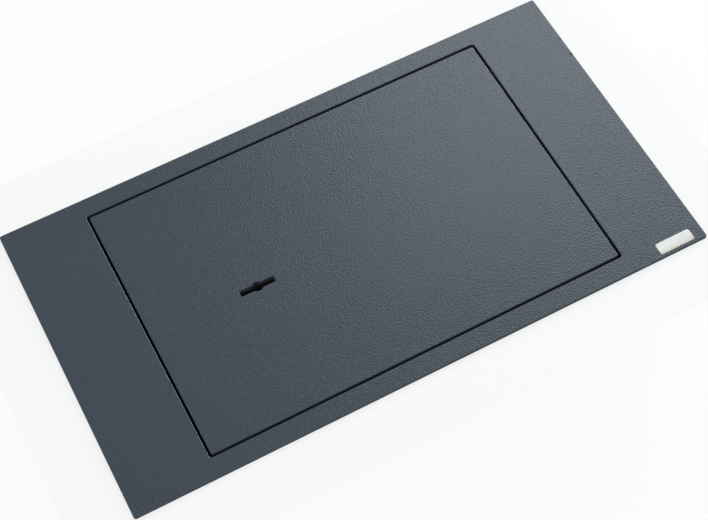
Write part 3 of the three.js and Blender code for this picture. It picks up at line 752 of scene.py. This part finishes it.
def blank_label():
    """The label: rings of a rounded rectangle, from its foot up a rounded edge and in to its middle."""
    low, high = LABEL_LOW, LABEL_HIGH
    centre = (high + low) / 2.0
    half = (high - low) / 2.0
    thickness = high[2] - low[2]
    corner = 1.6 * MM
    rim = rounded_rim(half, corner, (14, 4))
    inset = np.array([0.0, 0.0, 0.10, 0.30, 0.60]) * MM
    level = np.array([0.0, 0.0, 0.55, 0.85, 1.0, 1.0, 1.0]) * thickness
    to_middle = np.zeros((1,) + rim.shape)
    flat = np.concatenate([to_middle, rim * (1.0 - inset[:, None, None] / half[:2]), to_middle])
    points = rim_points(flat, level) + vector(centre[0], centre[1], low[2])
    faces = grid_faces(points.shape[0], points.shape[1])
    mesh = closed_mesh("blank_label_film", points.reshape(-1, 3), faces)
    add_piece("blank_label_film", mesh, LABEL_FILM, "safe_body", ["blank_label"])


def hinge_pin(node, side):
    """A turned pin, from the dome of its head on the arm's inner side to its end in the wall at that side."""
    low, high = lowest(node), highest(node)
    head_end = high[1] if side < 0.0 else low[1]
    length = high[1] - low[1]
    x, _, z = middle(node)
    shank = 4.0 * MM
    head = 6.5 * MM
    head_length = 2.5 * MM
    ease = 0.2 * MM
    chamfer = 0.6 * MM
    profile = [(0.0, 0.0), (0.05 * MM, 2.5 * MM), (0.5 * MM, 5.2 * MM), (1.0 * MM, 6.2 * MM),
               (1.5 * MM, head), (head_length - ease, head), (head_length, head - ease), (head_length, shank),
               (length - chamfer, shank), (length, shank - chamfer), (length, 0.0)]
    turned(node, "turned", profile, (x, head_end, z), (0.0, side, 0.0), ZINC_PLATE, "safe_body")


def hinge_washer(node, x, z):
    """A ring with eased edges round the pin."""
    low, high = lowest(node), highest(node)
    thick = high[1] - low[1]
    bore = 4.3 * MM
    rim = 7.5 * MM
    ease = 0.3 * MM
    ring = [(0.0, bore), (0.0, rim - ease), (ease, rim), (thick - ease, rim), (thick, rim - ease),
            (thick, bore), (0.0, bore)]
    turned(node, "turned", ring, (x, low[1], z), (0.0, 1.0, 0.0), ZINC_PLATE, "lid")


def hinge_pins():
    """Both pins and their washers."""
    for side, name in ((-1.0, "front"), (1.0, "rear")):
        x, _, z = middle("hinge_pin_" + name)
        hinge_pin("hinge_pin_" + name, side)
        hinge_washer("hinge_washer_" + name, x, z)


# The lid and its works

def dress_lid():
    """The lid, its painted arms, dog and guides, and the lock's plates and small parts."""
    rounded_copy("lid_plate", "lid", PAINT_LID, LID_ROUNDING)
    for node in ("hinge_arm_front", "hinge_arm_rear", "hinge_side_dog", "bolt_guide_front",
                 "bolt_guide_rear"):
        rounded_copy(node, "lid", PAINT, SHEET_ROUNDING)
    rounded_copy("drill_plate", "lid", BLACKED_STEEL, SMALL_ROUNDING, segments=2)
    for node in ("lock_case", "lock_cover"):
        rounded_copy(node, "lid", ZINC_PLATE, SMALL_ROUNDING, segments=2)
    for node in ("lever_post", "lock_bolt_pin", "lever_spring_comb"):
        rounded_copy(node, "lid", DRAWN_STEEL, FINE_ROUNDING, segments=2)


def lid_welds():
    """Fillets round the feet of the hinge arms, the dog and the bolt guides."""
    under = LID_LOW[2]
    leg = 2.0 * MM
    down = vector(z=-leg)
    runs = []
    for node in ("hinge_arm_front", "hinge_arm_rear"):
        low, high = lowest(node), highest(node)
        at_front = high[1] < 0.0
        inner = high[1] if at_front else low[1]
        start = (low[0] + 1 * MM, inner, under)
        end = (high[0] - 1 * MM, inner, under)
        runs.append(fillet(start, end, vector(y=leg if at_front else -leg), down))
    low, high = lowest("hinge_side_dog"), highest("hinge_side_dog")
    start = (low[0], low[1] + 4 * MM, under)
    end = (low[0], high[1] - 4 * MM, under)
    runs += stitches(start, end, 4, 24 * MM, vector(x=-leg), down)
    for node in ("bolt_guide_front", "bolt_guide_rear"):
        low, high = lowest(node), highest(node)
        for edge, side in ((low[1], -1.0), (high[1], 1.0)):
            start = (low[0] + 0.5 * MM, edge, under)
            end = (high[0] - 0.5 * MM, edge, under)
            runs.append(fillet(start, end, vector(y=side * leg), down))
    welds("lid_welds", "lid", runs)


def threaded(pitch, depth, start):
    """A thread past the start: the radius falls and rises once a turn and once a pitch along."""
    def shape(angle, along, radius):
        phase = (along / pitch - angle / TAU) % 1.0
        groove = depth * (1.0 - np.abs(2.0 * phase - 1.0))
        return radius - np.where(along > start, groove, 0.0)
    return shape


def hexagon_share(angle):
    """A hexagon's radius at an angle, as a share of its corners' radius."""
    half_side = math.pi / 6.0
    return math.cos(half_side) / np.cos((angle + half_side) % (math.pi / 3.0) - half_side)


def hexagon(inner_limit):
    """A round profile flattened to a hexagon where it is wider than the limit."""
    def shape(angle, along, radius):
        flat = radius * hexagon_share(angle)
        return np.where(radius > inner_limit, np.minimum(flat, radius), radius)
    return shape


def lock_stud(node):
    """A threaded stud, from the lid down to its chamfered tip."""
    low, high = lowest(node), highest(node)
    x, y, _ = middle(node)
    length = high[2] - low[2]
    radius = 2.5 * MM
    pitch, groove, thread_start = 0.8 * MM, 0.3 * MM, 4.0 * MM
    along = np.arange(0.0, length - 0.8 * MM, 0.1 * MM)
    shank = np.stack([along, np.full(along.shape, radius)], axis=-1)
    tip = [(length - 0.4 * MM, 2.3 * MM), (length, 1.9 * MM), (length, 0.0)]
    turned(node, "threaded", np.concatenate([[(0.0, 0.0)], shank, tip]), (x, y, high[2]), (0.0, 0.0, -1.0),
           ZINC_PLATE, "lid", 24, threaded(pitch, groove, thread_start))


def lock_nut(node, x, y):
    """A hexagon nut, chamfered on both faces."""
    low, high = lowest(node), highest(node)
    thick = high[2] - low[2]
    bore = 2.8 * MM
    face = 3.9 * MM
    corner = 4.62 * MM
    chamfer = 0.35 * MM
    ring = [(0.0, bore), (0.0, face), (chamfer, corner), (thick - chamfer, corner), (thick, face),
            (thick, bore), (0.0, bore)]
    turned(node, "chamfered", ring, (x, y, low[2]), (0.0, 0.0, 1.0), ZINC_PLATE, "lid", 48,
           hexagon(face + 0.05 * MM))


def cover_screw(node):
    """A round-headed screw with a round socket, from the socket's floor over the head to the tip."""
    low, high = lowest(node), highest(node)
    x, y, _ = middle(node)
    length = high[2] - low[2]
    socket_depth = 0.95 * MM
    head = 3.2 * MM
    head_length = 1.8 * MM
    shank = 1.8 * MM
    profile = [(socket_depth, 0.0), (socket_depth, 1.15 * MM), (0.12 * MM, 1.2 * MM), (0.1 * MM, 2.2 * MM),
               (0.45 * MM, 2.9 * MM), (1.0 * MM, head), (head_length - 0.1 * MM, head),
               (head_length, head - 0.1 * MM), (head_length, shank), (length - 0.5 * MM, shank),
               (length, 1.2 * MM), (length, 0.0)]
    turned(node, "socketed", profile, (x, y, low[2]), (0.0, 0.0, 1.0), ZINC_PLATE, "lid", 36)


def lock_fasteners():
    """The studs and nuts that hold the case, and the screws of its cover."""
    for number in range(1, 5):
        stud = "lock_stud_%d" % number
        x, y, _ = middle(stud)
        lock_stud(stud)
        lock_nut("lock_nut_%d" % number, x, y)
        cover_screw("cover_screw_%d" % number)


def key_curtain():
    """The blacked barrel that turns with the key."""
    rounded_copy("key_curtain", "key_curtain", BLACKED_STEEL, FINE_ROUNDING, segments=2)


def levers():
    """The pack of six brass levers."""
    for number in range(1, 7):
        name = "lever_%d" % number
        rounded_copy(name, name, SHEET_BRASS, FINE_ROUNDING, segments=2)


def round_bolt(node):
    """A turned bolt, from the rounded edge of its tip to the bore for its screw."""
    low, high = lowest(node), highest(node)
    _, y, z = middle(node)
    length = high[0] - low[0]
    radius = (high[1] - low[1]) / 2.0
    bore = 4.4 * MM
    bore_floor = length - 16.0 * MM
    chamfer = 0.4 * MM
    profile = [(0.0, 0.0), (0.0, radius - 1.5 * MM), (0.25 * MM, radius - 1.05 * MM),
               (1.1 * MM, radius - 0.2 * MM), (1.5 * MM, radius), (length - chamfer, radius),
               (length, radius - chamfer), (length, bore), (bore_floor, bore), (bore_floor, 0.0)]
    turned(node, "turned", profile, (low[0], y, z), (1.0, 0.0, 0.0), TURNED_BOLT, "boltwork", 96)


def cap_screw(node, y, z):
    """A cap screw, from its socket's floor over the knurled head to the end of its shank."""
    low, high = lowest(node), highest(node)
    length = high[0] - low[0]
    socket_depth = 4.0 * MM
    socket = 3.4 * MM
    head = 6.5 * MM
    head_length = 8.0 * MM
    shank = 4.0 * MM
    chamfer = 0.8 * MM
    profile = [(socket_depth, 0.0), (socket_depth, socket), (0.3 * MM, socket), (0.0, 3.8 * MM),
               (0.0, 5.6 * MM), (0.5 * MM, 6.3 * MM), (0.9 * MM, head), (head_length, head),
               (head_length, shank), (length - chamfer, shank), (length, shank - chamfer), (length, 0.0)]
    turned(node, "knurled", profile, (high[0], y, z), (-1.0, 0.0, 0.0), BLACKED_STEEL, "boltwork", 144,
           knurl_and_socket(head_length))


def boltwork():
    """The round bolts and their screws, the bar that joins them, and the lock bolt with its stump."""
    for name in ("front", "rear"):
        _, y, z = middle("round_bolt_" + name)
        round_bolt("round_bolt_" + name)
        cap_screw("bolt_screw_" + name, y, z)
    rounded_copy("bolt_bar", "boltwork", ZINC_PLATE, BAR_ROUNDING, segments=2)
    rounded_copy("lock_bolt", "boltwork", DRAWN_STEEL, SMALL_ROUNDING, segments=2)
    rounded_copy("lock_bolt_stump", "boltwork", BLACKED_STEEL, SMALL_ROUNDING, segments=2)


def knurl_and_socket(head_length):
    """A hexagon inside the socket, and fine flutes round the head."""
    socket_limit = 3.5 * MM
    knurl_limit = 6.4 * MM
    flute_depth = 0.12 * MM
    flutes_round = 36.0

    def shape(angle, along, radius):
        flutes = radius - flute_depth * (1.0 - np.cos(angle * flutes_round)) / 2.0
        inside = (radius < socket_limit) & (along < head_length * 0.55)
        outside = (radius > knurl_limit) & (along < head_length)
        return np.where(inside, radius * hexagon_share(angle), np.where(outside, flutes, radius))
    return shape


# The studio

# How much the ground and the board glow by themselves where they are seen, 1 being white
FLOOR_GLOW = 0.93
BOARD_GLOW = 0.78
# The board's width past the faceplate, its depth, its edge's slant inwards and its gap round the box
BOARD_REACH = 46.0 * MM
BOARD_DEPTH = 12.0 * MM
BOARD_UNDERCUT = 9.0 * MM
BOARD_GAP = 2.0 * MM
# The soft light from all round
FILL_COLOUR = (0.95, 0.98, 1.0, 1.0)
FILL_LEVEL = 0.425


def add_to_stage(name, mesh):
    """Puts in a mesh that isn't part of the object."""
    item = bpy.data.objects.new(name, mesh)
    bpy.context.scene.collection.objects.link(item)


def flat_slab(name, low, high, material):
    """A flat-sided slab between two corners."""
    x, y, z = np.array([low, high]).T
    corners = np.array([[x[i], y[j], z[k]] for k in (0, 1) for j in (0, 1) for i in (0, 1)])
    faces = np.array([[0, 2, 3, 1], [4, 5, 7, 6], [0, 1, 5, 4], [2, 6, 7, 3], [0, 4, 6, 2], [1, 3, 7, 5]])
    mesh = closed_mesh(name, corners, faces)
    mesh.materials.append(material)
    add_to_stage(name, mesh)


def seen_share(finish):
    """1 for what the camera, a gloss or clear glass sees, and 0 for rays that only light the scene."""
    kinds = ("Is Camera Ray", "Is Glossy Ray", "Is Transmission Ray")
    camera_ray, glossy_ray, clear_ray = [finish.node("ShaderNodeLightPath", output=kind) for kind in kinds]
    return camera_ray.most(glossy_ray).most(clear_ray)


def glowing_white(name, glow):
    """Pale floor that looks white, and keeps a share of the object's shadow."""
    finish = new_finish(name)
    plain = finish.node("ShaderNodeBsdfDiffuse", None, {"Color": linear(FLOOR_WHITE)})
    white = finish.node("ShaderNodeEmission", None, {"Color": (1.0, 1.0, 1.0, 1.0), "Strength": 1.0})
    amount = seen_share(finish) * glow
    shaded = finish.node("ShaderNodeMixShader", None, {0: amount, 1: plain, 2: white})
    finish.node("ShaderNodeOutputMaterial", None, {"Surface": shaded})
    return finish.owner


def board_edge():
    """The board's cut edge and underside, lit only by the lamps."""
    finish = new_finish("board_edge")
    streaks = finish.noise(1.0, roughness=0.6, stretch=(30.0, 30.0, 900.0))
    colour = finish.mix(streaks, linear(BOARD_EDGE), linear(FLOOR_WHITE))
    plain = finish.node("ShaderNodeBsdfDiffuse", None, {"Color": colour})
    finish.node("ShaderNodeOutputMaterial", None, {"Surface": plain})
    return finish.owner


def floor_board():
    """The floor's top board round the pit, which the flange rests on.

    The safe is let into a floor, so the photograph shows only its top. The board is as wide as hides the
    pit from where it was taken, and the box below shows from the side. A section of four points is
    carried round a rectangle, and its edge slants inwards, so that it doesn't show from above.
    """
    top = FACE_LOW[2] - 0.1 * MM
    inner = highest("body_wrap")[:2] + BOARD_GAP
    outer = FACE_HIGH[:2] + BOARD_REACH
    half = np.stack([inner, outer, outer - BOARD_UNDERCUT, inner])
    level = np.array([top, top, top - BOARD_DEPTH, top - BOARD_DEPTH])
    corner = np.array([[-1, -1], [1, -1], [1, 1], [-1, 1]])
    flat = corner[:, None, :] * half[None, :, :]
    points = np.concatenate([flat, np.broadcast_to(level[None, :, None], (4, 4, 1))], axis=-1)
    mesh = closed_mesh("floor_board", points.reshape(-1, 3), grid_faces(4, 4, round_rows=True))
    mesh.materials.append(glowing_white("board_white", BOARD_GLOW))
    mesh.materials.append(board_edge())
    normals = np.empty(len(mesh.polygons) * 3)
    mesh.polygons.foreach_get("normal", normals)
    mesh.polygons.foreach_set("material_index", np.where(normals[2::3] > 0.5, 0, 1))
    add_to_stage("floor_board", mesh)


def floor():
    """The ground just under the base, and the board round the pit."""
    flat_slab("ground", (-6.0, -6.0, -0.02), (6.0, 6.0, -0.0002), glowing_white("floor_white", FLOOR_GLOW))
    floor_board()


def world():
    """White for what is seen, and an even soft fill for what the lamps don't reach."""
    made = bpy.data.worlds.new("soft_white_room")
    bpy.context.scene.world = made
    finish = Finish(made)
    fill = finish.node("ShaderNodeBackground", None, {"Color": FILL_COLOUR, "Strength": FILL_LEVEL})
    white = finish.node("ShaderNodeBackground", None, {"Color": (1.0, 1.0, 1.0, 1.0), "Strength": 1.0})
    shown = finish.node("ShaderNodeMixShader", None, {0: seen_share(finish), 1: fill, 2: white})
    finish.node("ShaderNodeOutputWorld", None, {"Surface": shown})


def lamp(name, place, aim, size, watts, colour=(1.0, 1.0, 1.0), in_reflections=True):
    """A flat lamp at a place, aimed at a point, its first size level with the ground."""
    light = bpy.data.lights.new(name, "AREA")
    light.shape = "RECTANGLE"
    light.size = size[0]
    light.size_y = size[1]
    light.energy = watts
    light.color = colour
    made = bpy.data.objects.new(name, light)
    bpy.context.scene.collection.objects.link(made)
    place, aim = np.array(place), np.array(aim)
    back = (place - aim) / np.linalg.norm(place - aim)
    right = np.cross((0.0, 0.0, 1.0), back)
    right /= np.linalg.norm(right)
    matrix = np.eye(4)
    matrix[:3] = np.stack([right, np.cross(back, right), back, place], axis=1)
    made.matrix_world = Matrix(matrix.tolist())
    made.visible_glossy = in_reflections


def lamps():
    """The window past the far hinge corner, the soft lamps near the camera, and the box's own light.

    window_soft is broad and high, window_low is below it, and near_soft is over the near side. low_side
    stands at the bolt end, so low that it lights the box's walls and hardly its top.
    """
    target = (0.0, 0.0, TOP)
    lamp("window_soft", (1.39, 1.34, 1.75), (1.29, 0.96, TOP), (1.6, 1.6), 33.5, (0.92, 0.98, 1.0))
    lamp("window_low", (2.0, 1.05, 0.78), target, (1.2, 0.4), 30.0, (0.93, 0.97, 1.0))
    lamp("near_soft", (-0.5, -1.5, 1.9), target, (1.4, 1.4), 6.5)
    lamp("low_side", (-1.9, -1.2, 0.34), target, (1.4, 0.4), 24.0, in_reflections=False)


def camera():
    """The photograph's camera, as it was solved from the faceplate's and the opening's corners."""
    data = bpy.data.cameras.new("camera")
    data.lens = CAMERA_LENS_MM
    data.sensor_width = SENSOR_MM
    data.sensor_fit = "HORIZONTAL"
    data.clip_start = 0.01
    made = bpy.data.objects.new("camera", data)
    bpy.context.scene.collection.objects.link(made)
    place = CAMERA_PLACE + vector(z=TOP)
    matrix = np.eye(4)
    matrix[:3] = np.stack([CAMERA_RIGHT, CAMERA_UP, CAMERA_BACK, place], axis=1)
    made.matrix_world = Matrix(matrix.tolist())
    bpy.context.scene.camera = made


dress_box()
box_welds()
inside_welds()
felt_mat()
blank_label()
hinge_pins()
dress_lid()
lid_welds()
lock_fasteners()
key_curtain()
levers()
boltwork()
floor()
world()
lamps()
camera()
bpy.context.scene.view_settings.view_transform = "Standard"
